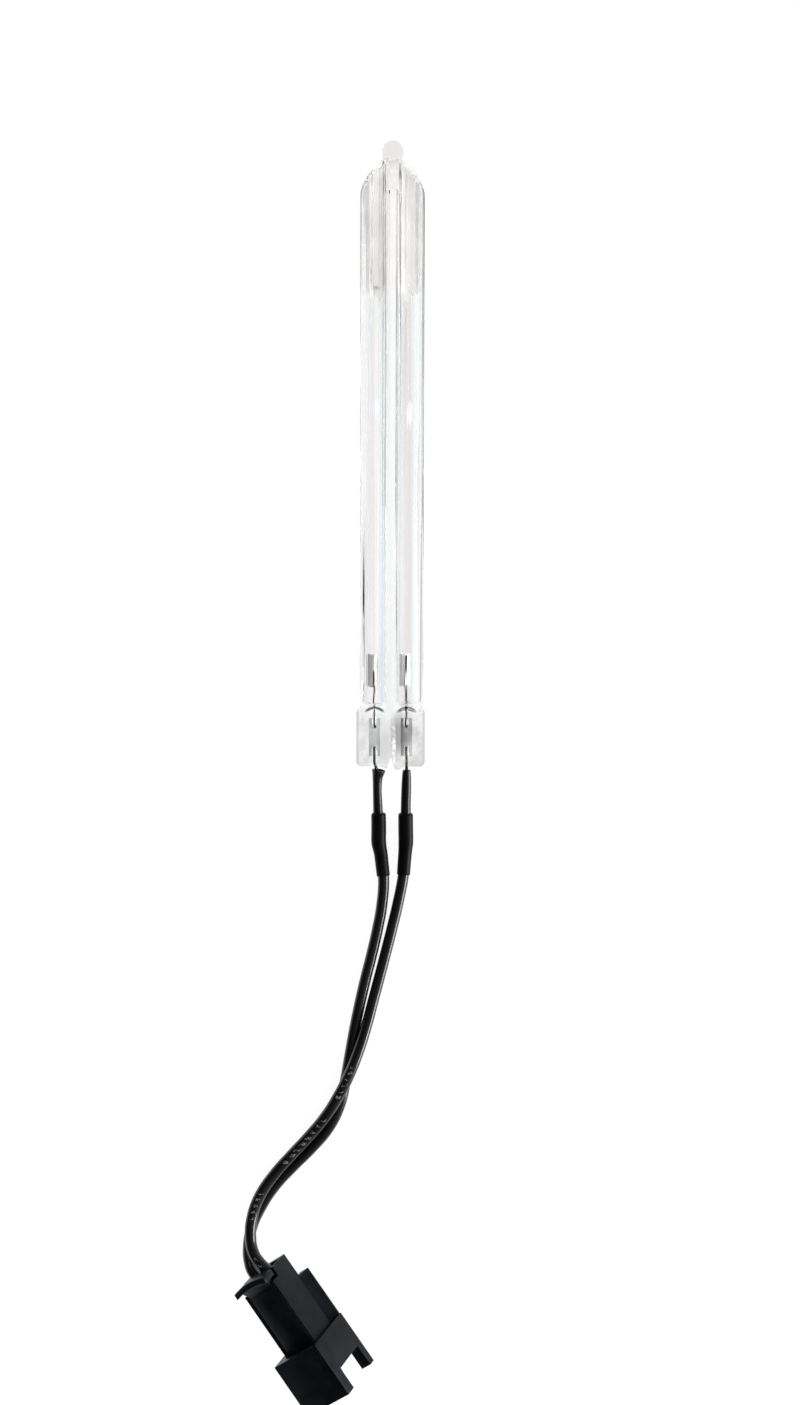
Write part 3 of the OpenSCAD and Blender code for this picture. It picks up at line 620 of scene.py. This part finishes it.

# %% [markdown]
# The tube's grey tones are painted shade in fine bands, which are noise stretched fifty
# times along it, and four wide bands with places of their own: warm, bluish, grey and
# bluish again, of which the grey one is painted shade and the others painted highlights.
# Above them lies the warmer misted end, and then the bead at the tip, which gets a little
# painted shade. A pair such as MIST_TO_TUBE says between which two places one tone turns
# into the next.

# %% Tint the tube
BAND_STRETCH = (1, 0.02, 1)
TUBE_SHADE_TONES = ((0.84, 0.845, 0.843, 1), (0.92, 0.922, 0.92, 1))
# The middle of each wide band, half its width and its tone.
PAINTED_LIGHT_BANDS = ((-0.00225, 0.00045, (0.95, 0.945, 0.935, 1)),
              (-0.0014, 0.0006, (0.87, 0.9, 0.918, 1)),
              (0.0028, 0.0007, (0.865, 0.862, 0.856, 1)),
              (0.0039, 0.0005, (0.945, 0.975, 0.99, 1)))
BAND_CORE = 0.6
MIST_TONES = ((0.88, 0.875, 0.868, 1), (0.965, 0.96, 0.955, 1))
MIST_TO_TUBE = (0.034, 0.03)
MIST_TO_TIP = (0.0515, 0.0525)
TIP_PAINTED_SHADE = (0.77, 0.765, 0.757, 1)

# Painted shade and painted highlights of the bent light, in bands along the tube.
drawn = put(tree, "Mapping", Vector=place, Scale=BAND_STRETCH)
painted_fine_bands = put(tree, "TexNoise", Vector=out(drawn), Scale=700, Detail=1)
tube_painted_light = blend_tones(tree, span_mask(tree, out(painted_fine_bands), 0.4, 0.6), *TUBE_SHADE_TONES)
for middle, reach, tone in PAINTED_LIGHT_BANDS:
    aside = calc(tree, "ABSOLUTE", calc(tree, "SUBTRACT", across, middle))
    band = span_mask(tree, aside, reach, BAND_CORE * reach)
    tube_painted_light = blend_tones(tree, band, tube_painted_light, tone)
haze = out(use_group(tree, grain, Vector=place, Patch_Scale=220), "Patches")
mist_tint = blend_tones(tree, haze, *MIST_TONES)
tint = blend_tones(tree, span_mask(tree, length, *MIST_TO_TUBE), mist_tint, tube_painted_light)
# Painted shade on the solid bead at the tip.
tint = blend_tones(tree, span_mask(tree, length, *MIST_TO_TIP), tint, TIP_PAINTED_SHADE)
print("wide bands in the tube:", len(PAINTED_LIGHT_BANDS))

# %% [markdown]
# The pinch was squeezed flat while it was hot, and its two halves came out unlike each
# other: the left is pale and the right is smoky. One noise runs through both, and each
# half blends a pair of tones of its own with it.

# %% Smoke the pinch
PINCH_BEGINS = (-0.0345, -0.036)
HALVES_MEET = (-0.0004, 0.0006)
PALE_SMOKE = ((0.68, 0.685, 0.685, 1), (0.9, 0.905, 0.905, 1))
GREY_SMOKE = ((0.53, 0.53, 0.525, 1), (0.87, 0.87, 0.865, 1))

smoke = put(tree, "TexNoise", Vector=place, Scale=420, Detail=3)
smoke_share = span_mask(tree, out(smoke), 0.35, 0.62)
pale_half = blend_tones(tree, smoke_share, *PALE_SMOKE)
grey_half = blend_tones(tree, smoke_share, *GREY_SMOKE)
pinch_tint = blend_tones(tree, span_mask(tree, across, *HALVES_MEET), pale_half, grey_half)
tint = blend_tones(tree, span_mask(tree, length, *PINCH_BEGINS), tint, pinch_tint)
print("pinch begins at Y in mm:", 1000 * PINCH_BEGINS[0])

# %% [markdown]
# Where each bore ends in the pinch, its round end gets a dark crescent of painted shade.
# Two masks, each a disc seen from above, give its outline: the upper rim of the first,
# less the second, which lies a little lower. Both bores share one crescent, because it is
# drawn in coordinates that are folded about the lamp's middle.

# %% Draw the crescents
def near(tree, plane, centre, stretch, inner, outer):
    """1 within inner of centre and 0 past outer, with the plane stretched first."""
    shifted = put(tree, "VectorMath", operation="SUBTRACT", i0=plane, i1=(*centre, 0))
    scaled = put(tree, "VectorMath", operation="MULTIPLY", i0=out(shifted), i1=(*stretch, 1))
    away = put(tree, "VectorMath", operation="LENGTH", i0=out(scaled))
    return span_mask(tree, out(away, "Value"), outer, inner)


BORE_X = 0.00255
ROUND = (1, 1)
CRESCENT_PAINTED_SHADE = grey(0.07)
CRESCENT_BEGINS = (-0.035, -0.0346)

bore_end = near(tree, folded, (BORE_X, -0.03605), ROUND, 0.00198, 0.00205)
cut_away = near(tree, folded, (BORE_X, -0.0362), ROUND, 0.00172, 0.0019)
# The painted shade of the bore's round end.
crescent = calc(tree, "MULTIPLY", calc(tree, "SUBTRACT", bore_end, cut_away),
                span_mask(tree, length, *CRESCENT_BEGINS))
tint = blend_tones(tree, crescent, tint, CRESCENT_PAINTED_SHADE)
print("crescents at X in mm:", -1000 * BORE_X, 1000 * BORE_X)

# %% [markdown]
# The glass also has small marks that nothing repeats: dark spots at the edge of the mist,
# soft painted shade beside the seam of the pinch, and pale spots of painted highlight in
# the tube and at the ends of the foils. Each is an oval with a soft edge, so a row in a
# list is enough for it.

# %% Add the small marks
# A dark tone for spots at the edge of the mist.
DARK_SPOT = (0.55, 0.55, 0.54, 1)
PAINTED_HIGHLIGHT = grey(0.99)
# The centre of each oval, its stretch, its core, its reach and its tone.
MARKS_SHADES_AND_HIGHLIGHTS = (((-0.00444, 0.0311), (1.8, 0.6), 0.00005, 0.0003, DARK_SPOT),
         ((-0.0036, 0.0313), (1.8, 0.6), 0.00005, 0.0003, DARK_SPOT),
         ((-0.0025, 0.0316), (0.35, 0.6), 0.00005, 0.0003, DARK_SPOT),
         # painted shade beside the seam of the pinch
         ((0.0012, -0.0385), (1, 0.35), 0.0005, 0.0015, grey(0.4)),
         ((-0.0009, -0.0402), (1, 0.35), 0.0005, 0.0015, grey(0.68)),
         # painted highlights in the tube and at the ends of the foils
         ((0.00286, 0.0121), (1, 0.24), 0.00035, 0.0005, PAINTED_HIGHLIGHT),
         ((-0.0023, 0.0129), (1, 0.26), 0.00025, 0.0004, PAINTED_HIGHLIGHT),
         ((0.00455, 0.0124), (1, 0.1), 0.0001, 0.00016, PAINTED_HIGHLIGHT),
         ((0.0019, 0.0343), ROUND, 0.00028, 0.00042, PAINTED_HIGHLIGHT),
         ((-0.0026, -0.0364), (1, 0.6), 0.00028, 0.00042, PAINTED_HIGHLIGHT),
         ((0.00248, -0.0364), (1, 0.6), 0.00028, 0.00042, PAINTED_HIGHLIGHT),
         ((-0.0024, -0.0414), (1, 0.6), 0.00028, 0.00042, PAINTED_HIGHLIGHT),
         ((0.0026, -0.0414), (1, 0.6), 0.00028, 0.00042, PAINTED_HIGHLIGHT))
for centre, stretch, core, reach, tone in MARKS_SHADES_AND_HIGHLIGHTS:
    oval = near(tree, from_above, centre, stretch, core, reach)
    tint = blend_tones(tree, oval, tint, tone)
print("small marks:", len(MARKS_SHADES_AND_HIGHLIGHTS))

# %% [markdown]
# A torn white seam runs down the middle of the pinch. A long oval says where it is, and
# noise tears it. The sides of the pinch get painted shade, and so does any wall that is
# seen nearly from its side, which Layer Weight finds.

# %% Tear the seam and darken the rims
RIM_FROM_TO = (0.00495, 0.00515)
RIM_BEGINS = (-0.0335, -0.035)
PINCH_RIM_SHADE = (0.62, 0.62, 0.615, 1)
SIDE_WALL_SHADE = (0.72, 0.715, 0.705, 1)

seam = near(tree, from_above, (0.00035, -0.0398), (1, 0.12), 0.0001, 0.0005)
torn = out(put(tree, "TexNoise", Vector=place, Scale=1300, Detail=4))
ragged = calc(tree, "MULTIPLY", seam, span_mask(tree, torn, 0.46, 0.52))
tint = blend_tones(tree, ragged, tint, grey(1))
# Painted shade on the rounded sides of the pinch and on walls seen from the side.
rim_shade = calc(tree, "MULTIPLY", span_mask(tree, from_middle, *RIM_FROM_TO),
              span_mask(tree, length, *RIM_BEGINS))
tint = blend_tones(tree, rim_shade, tint, PINCH_RIM_SHADE)
facing = put(tree, "LayerWeight", Blend=0.5)
tint = blend_tones(tree, span_mask(tree, out(facing, "Facing"), 0.72, 0.95), tint, SIDE_WALL_SHADE)
feed(tree, glass.inputs["Base Color"], tint)
print("tints of the quartz done")

# %% [markdown]
# The misted stretch between the tube and the tip is also a little rough. Long faint waves
# from drawing bend what is seen through the wall, and the torn seam is a deep relief.
#
# Cycles gives solid glass a dark shadow unless it traces caustics, which are slow and
# grainy. Here a shadow ray sees the glass as nearly open instead, so the lamp throws the
# pale shadow of real glass.

# %% Finish the quartz
CLEAR_ROUGHNESS = (0.05, 0.02)
MISTED_ROUGHNESS = (0.16, 0.08)
WAVE_STRETCH = (1, 0.05, 1)
WAVE_RELIEF = 0.00003
SEAM_RELIEF = 0.0008
SHADOW_TINT = (0.93, 0.935, 0.94, 1)

misted = calc(tree, "MULTIPLY", span_mask(tree, length, 0.0305, 0.0325),
              span_mask(tree, length, 0.0525, 0.0515))
rough = put(tree, "Mix", Factor=misted, A=between(tree, haze, *CLEAR_ROUGHNESS),
            B=between(tree, haze, *MISTED_ROUGHNESS))
feed(tree, glass.inputs["Roughness"], out(rough))
drawn = put(tree, "Mapping", Vector=place, Scale=WAVE_STRETCH)
waves = put(tree, "TexNoise", Vector=out(drawn), Scale=450, Detail=1)
wavy = put(tree, "Bump", Height=out(waves), Strength=0.08, Distance=WAVE_RELIEF)
groove = put(tree, "Bump", Height=calc(tree, "MULTIPLY", seam, torn), Strength=1,
             Distance=SEAM_RELIEF, Normal=out(wavy))
feed(tree, glass.inputs["Normal"], out(groove))
shadow = put(tree, "BsdfTransparent", Color=SHADOW_TINT)
ray = put(tree, "LightPath")
choice = put(tree, "MixShader", Fac=out(ray, "Is Shadow Ray"), i1=out(glass), i2=out(shadow))
feed(tree, tree.nodes["Material Output"].inputs["Surface"], out(choice))
print("quartz made")

# %% [markdown]
# The upper ends of the bores are misted: a thin pale film lies on the inside of the
# glass. Glass alone would show hard bands there, so the film is a piece of its own, a
# rough pale finish that is only partly opaque, in patches drawn out along the bore.

# %% A finish for the mist film
FILM_TONES = ((0.8, 0.795, 0.785, 1), (0.93, 0.928, 0.922, 1))
FILM_ROUGHNESS = (0.7, 0.9)
FILM_COVER = (0.75, 0.5)
FILM_BEGINS = (0.0312, 0.0322)
FILM_STRETCH = (1, 0.4, 1)

film, tree, shader = new_finish("bore_mist")
place = object_place(tree)
drawn = put(tree, "Mapping", Vector=place, Scale=FILM_STRETCH)
patches = out(use_group(tree, grain, Vector=out(drawn), Patch_Scale=330), "Patches")
length = out(put(tree, "SeparateXYZ", Vector=place), "Y")
cover = calc(tree, "MULTIPLY", between(tree, patches, *FILM_COVER),
             span_mask(tree, length, *FILM_BEGINS))
feed(tree, shader.inputs["Base Color"], blend_tones(tree, patches, *FILM_TONES))
feed(tree, shader.inputs["Roughness"], between(tree, patches, *FILM_ROUGHNESS))
feed(tree, shader.inputs["Alpha"], cover)
shader.inputs["Specular IOR Level"].default_value = 0.1
print("mist film finish made")

# %% [markdown]
# ## Pieces that follow a CAD solid
#
# The quartz, the plug and its latch already have the right shape in the CAD, but their
# meshes are loose triangles with hard edges. They could be modelled once more from
# nothing. A copy with its doubles merged is nearer to the solid, and can be rounded with
# a Bevel modifier and shaded smooth, which a moulding needs before its edges can catch
# the light.

# %% Helpers for finished pieces and dressed copies
def own(piece, body_name, finish, slot, *stands_for):
    """Gives a piece its finish and its body, and hides the solids that it stands for. slot is
    not used.
    """
    piece.data.materials.clear()
    piece.data.materials.append(finish)
    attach(piece, body_name)
    if stands_for:
        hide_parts(*stands_for)
    report(piece)
    return piece


def dressed_copy(name, solid, body_name, finish, slot, edge=0, parts=2, smooth=35):
    """A merged copy of a CAD solid, with rounded edges, that stands for the solid."""
    piece = solids[solid].copy()
    piece.data = solids[solid].data.copy()
    piece.name = piece.data.name = name
    piece.parent = None
    bpy.context.collection.objects.link(piece)
    piece.matrix_world = Matrix.Identity(4)
    # The copy gives up the solid's own labels, because it is a new piece.
    for key in list(piece.keys()):
        del piece[key]
    edit(piece, lambda face: True)
    bpy.ops.mesh.remove_doubles(threshold=2 * SAME_PLACE)
    bpy.ops.mesh.dissolve_limited(angle_limit=math.radians(0.5))
    leave_edit()
    if edge:
        apply_modifier(piece, "BEVEL", width=edge, segments=parts, limit_method="ANGLE",
                       angle_limit=math.radians(30), use_clamp_overlap=True)
    smooth_under(piece, smooth)
    return own(piece, body_name, finish, slot, solid)


# %% [markdown]
# The quartz keeps its edges as they are, because the CAD solid is already round wherever
# the blown glass is. The plug's edges are rounded more than the latch's, which is thin: a
# wide bevel would eat into it.

# %% Dress the quartz, the plug and its latch
PLUG_ROUNDING = 0.00022
LATCH_ROUNDING = 0.0001
dressed_copy("quartz_tube", "quartz_envelope", "lamp", quartz, "quartz_glass", smooth=30)
plug_body = dressed_copy("plug_body", "connector_housing", "lamp", PLUG_BLACK,
                         "housing_plastic", edge=PLUG_ROUNDING, parts=3)
rocker = dressed_copy("latch_lever", "connector_latch", "latch", PLUG_BLACK,
                      "housing_plastic", edge=LATCH_ROUNDING)

# %% [markdown]
# The film covers the lower half of each bore. It starts as an open tube, whose line
# follows the bore and then bends in under the dome, where the room between the walls gets
# narrow. The upper half is deleted, and the faces are turned to look into the bore.

# %% Lay the mist films
BORE_Z = 0.0026
FILM_RADIUS = 0.0018
FILM_LINE = ((2.55, 31.2), (2.55, 38), (2.55, 45), (2.5, 47), (2.38, 48.4), (2.1, 49.8),
             (1.62, 51))
FILM_SHARES = (1, 1, 1, 0.97, 0.86, 0.64, 0.36)
for side, sign in zip(SIDES, (-1, 1)):
    line = metres([(sign * x, y, 1000 * BORE_Z) for x, y in FILM_LINE])
    mist = tube(side + "_bore_mist", line, FILM_RADIUS, FILM_SHARES, capped=False,
                roundness=9)
    edit(mist, lambda face: face.center.z > BORE_Z)
    bpy.ops.mesh.delete(type="FACE")
    bpy.ops.mesh.select_all(action="SELECT")
    bpy.ops.mesh.flip_normals()
    leave_edit()
    own(mist, "lamp", film, None)

# %% [markdown]
# ## Sleeves on the leads
#
# A short black tube covers each bare lead where it leaves the pinch. The left one flares
# at its mouth, and the right one is drawn in a little. A cylinder would be stiff and
# straight, so each sleeve is a tube along the lead's own line, and Solidify gives its
# wall.

# %% Shape a black sleeve
SLEEVE_RADIUS = 0.0008
SLEEVE_WALL = 0.0003
SLEEVE_LINES = {
    "left": metres([(-1.87, -44.15, 2.75), (-1.93, -44.6, 2.66), (-2.02, -45.2, 2.56),
                    (-2.07, -46.2, 2.38), (-2.08, -47.4, 2.2), (-2.03, -49, 1.97),
                    (-1.92, -51.6, 1.6)]),
    "right": metres([(2.55, -44.15, 2.7), (2.55, -44.6, 2.62), (2.54, -45.4, 2.5),
                     (2.52, -46.2, 2.38), (2.5, -47.4, 2.2), (2.46, -49, 1.95),
                     (2.43, -51.6, 1.6)]),
}
SLEEVE_SHARES = {"left": (1.36, 1.22, 1.04, 0.92, 0.88, 0.92, 1),
                 "right": (0.8, 0.86, 0.93, 0.97, 1, 1, 1.02)}


def black_sleeve(name, line, radius, shares, wall, finish, solid):
    """An open tube with a wall, which stands for a sleeve of the CAD."""
    sleeve = tube(name, line, radius, shares, capped=False)
    apply_modifier(sleeve, "SOLIDIFY", thickness=wall, offset=-1)
    return own(sleeve, "lamp", finish, "sleeve_black", solid)


# %% [markdown]
# Below it a heat-shrunk sleeve covers the splice: wide over the crimp, narrow over the
# wire, with a shoulder between. It is the same kind of tube with a thinner wall, and the
# shares of its radius give it the shoulder and the pulled-in mouth.

# %% Make the lead sleeves and the shrunk sleeves
SHRINK_RADIUS = 0.00119
SHRINK_WALL = 0.0001
SHRINK_LINES = {
    "left": metres([(-1.9, -50.95, 1.7), (-1.9, -51.05, 1.69), (-1.88, -51.3, 1.66),
                    (-1.84, -53.5, 1.44), (-1.81, -55.9, 1.26), (-1.68, -56.6, 1.22),
                    (-1.5, -57.5, 1.18), (-1.3, -59.2, 1.13), (-1.09, -61, 1.09)]),
    "right": metres([(2.43, -50.95, 1.7), (2.43, -51.05, 1.69), (2.43, -51.3, 1.66),
                     (2.45, -53.5, 1.44), (2.47, -55.9, 1.26), (2.42, -56.6, 1.22),
                     (2.35, -57.5, 1.18), (2.22, -59.2, 1.13), (2.12, -60.8, 1.09)]),
}
SHRINK_SHARES = (0.7, 0.9, 0.99, 1, 1, 0.95, 0.92, 0.9, 0.89)
SHRUNK = {}
for side in SIDES:
    black_sleeve(side + "_lead_cover", SLEEVE_LINES[side], SLEEVE_RADIUS, SLEEVE_SHARES[side],
                 SLEEVE_WALL, SLEEVE_BLACK, side + "_lead_sleeve")
    SHRUNK[side] = black_sleeve(side + "_shrunk_sleeve", SHRINK_LINES[side], SHRINK_RADIUS,
                                SHRINK_SHARES, SHRINK_WALL, SHRINK_BLACK,
                                side + "_shrink_sleeve")

# %% [markdown]
# ## Electrodes, foils and leads
#
# Each electrode is a small nickel cup with its open end towards the dome. It could be
# spun from a profile. Starting from a cylinder takes fewer steps: its end face is taken
# away, the foot is rounded in and the wall is given its thickness. Its place and length
# come from the CAD solid.

# %% Make the electrode cups
CUP_RADIUS = 0.0009
CUP_WALL = 0.00018
FOOT_ROUNDING = 0.0003
LIP_ROUNDING = 0.00004
CUP_METALS = {"left": NICKEL, "right": PALE_NICKEL}
for side in SIDES:
    low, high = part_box(side + "_electrode_cup")
    bpy.ops.mesh.primitive_cylinder_add(vertices=40, radius=CUP_RADIUS, depth=high.y - low.y,
                                        location=(low + high) / 2,
                                        rotation=(math.pi / 2, 0, 0))
    cup = bpy.context.object
    cup.name = side + "_nickel_cup"
    settle(cup)
    edit(cup, lambda face: face.normal.y > 0.9)
    bpy.ops.mesh.delete(type="FACE")
    leave_edit()
    edit(cup, lambda face: face.normal.y < -0.9)
    bpy.ops.mesh.bevel(offset=FOOT_ROUNDING, segments=4, affect="EDGES")
    leave_edit()
    apply_modifier(cup, "SOLIDIFY", thickness=CUP_WALL, offset=-1)
    apply_modifier(cup, "BEVEL", width=LIP_ROUNDING, segments=2, limit_method="ANGLE",
                   angle_limit=math.radians(40))
    smooth_under(cup, 35)
    own(cup, "lamp", CUP_METALS[side], "nickel", side + "_electrode_cup")

# %% [markdown]
# The foils are thin strips of molybdenum in the pinch. Where a wire is welded on, the
# glass round it leaves a bright bay at the foil's end. Each foil is a thin slab, and two
# rounded cutters take the bays out of it: cylinders, each with its outer half pulled out
# past the foil's end.

# %% Cut the foils
BAY_RADIUS = 0.00048
BAY_DEPTH = 0.0011
CUTTER_HEIGHT = 0.001
CUTTER_PULL = 0.002
BEYOND_CENTRE = 0.00001
for side in SIDES:
    low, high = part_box(side + "_seal_foil")
    middle = (low + high) / 2
    bpy.ops.mesh.primitive_cube_add(size=1, location=middle)
    foil = bpy.context.object
    foil.name = side + "_foil_strip"
    foil.scale = high - low
    settle(foil)
    for end, outward in ((high.y, 1), (low.y, -1)):
        centre = Vector((middle.x, end - outward * BAY_DEPTH, middle.z))
        bpy.ops.mesh.primitive_cylinder_add(vertices=32, radius=BAY_RADIUS,
                                            depth=CUTTER_HEIGHT, location=centre)
        cutter = bpy.context.object
        settle(cutter)
        edit(cutter, lambda v: outward * (v.co.y - centre.y) > BEYOND_CENTRE, mode="VERT")
        bpy.ops.transform.translate(value=(0, outward * CUTTER_PULL, 0))
        leave_edit()
        apply_modifier(foil, "BOOLEAN", operation="DIFFERENCE", object=cutter)
        bpy.data.objects.remove(cutter)
    own(foil, "lamp", FOIL_METAL, "molybdenum_foil", side + "_seal_foil")

# %% [markdown]
# The electrode stems are fine tungsten wires, bent by hand, with a small hook where they
# are welded to the foil. The tube helper bends them in one go, round where the CAD has
# eight flat sides.

# %% Bend the stems
STEM_RADIUS = 0.00016
STEM_LINES = {
    "left": metres([(-2.72, -28.4, 3.3), (-2.66, -30.5, 3.3), (-2.63, -31.6, 3.08),
                    (-2.76, -33.1, 2.95), (-2.6, -34.5, 2.86), (-2.6, -36.1, 2.83),
                    (-2.54, -37.1, 2.82), (-2.43, -37.3, 2.83), (-2.4, -37, 2.84)]),
    "right": metres([(2.49, -26, 3.3), (2.44, -28, 3.32), (2.3, -30.6, 3.25),
                     (2.44, -32.2, 3.02), (2.38, -33.9, 2.88), (2.5, -35.4, 2.84),
                     (2.46, -37, 2.82), (2.58, -37.25, 2.83), (2.66, -37, 2.84)]),
}
for side in SIDES:
    stem = tube(side + "_stem_wire", STEM_LINES[side], STEM_RADIUS, steps=5, roundness=3)
    own(stem, "lamp", LEAD_METAL, "lead_metal", side + "_electrode_stem")

# %% [markdown]
# The CAD solids of the small metal parts have the right shape already, and most of them
# are hidden in the sleeves and the plug. They stay, and only get their metals.

# %% Give the small metal parts their metals
FINISHES = {
    "outer_lead": LEAD_METAL,
    "splice_crimp": TINNED,
    "splice_strands": COPPER,
    "terminal_pin": TINNED,
    "pin_strands": COPPER,
}
metal_of = {side + "_" + part: finish for part, finish in FINISHES.items() for side in SIDES}
metal_of["mercury_drop"] = QUICKSILVER
for name, finish in metal_of.items():
    for holder in solids[name].material_slots:
        holder.material = finish
print("metal finishes on", len(metal_of), "solids")

# %% [markdown]
# ## Finishing the wires
#
# The wires ride on the lamp, each with its cover, and stand for their CAD solids. What is
# joined to a wire is gathered in a list with it: its splice and shrunk sleeve at one end,
# and its pin at the other. The plug goes with the left wire.

for side, route in ROUTES.items():
    wire = own(WIRES[side], "lamp", COVERS[side], "wire_insulation", side + "_wire")
    carried = [SHRUNK[side]]
    for part_name in ("splice_crimp", "splice_strands", "terminal_pin", "pin_strands"):
        carried.append(solids[side + "_" + part_name])
    if side == "left":
        carried += [plug_body, rocker]

# %% [markdown]
# ## The size
#
# The finished model should fill the same box as the CAD solids, and its box is printed.

# %% Print the size
low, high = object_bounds()
print("visual box in mm:", [round(1000 * s, 1) for s in high - low])
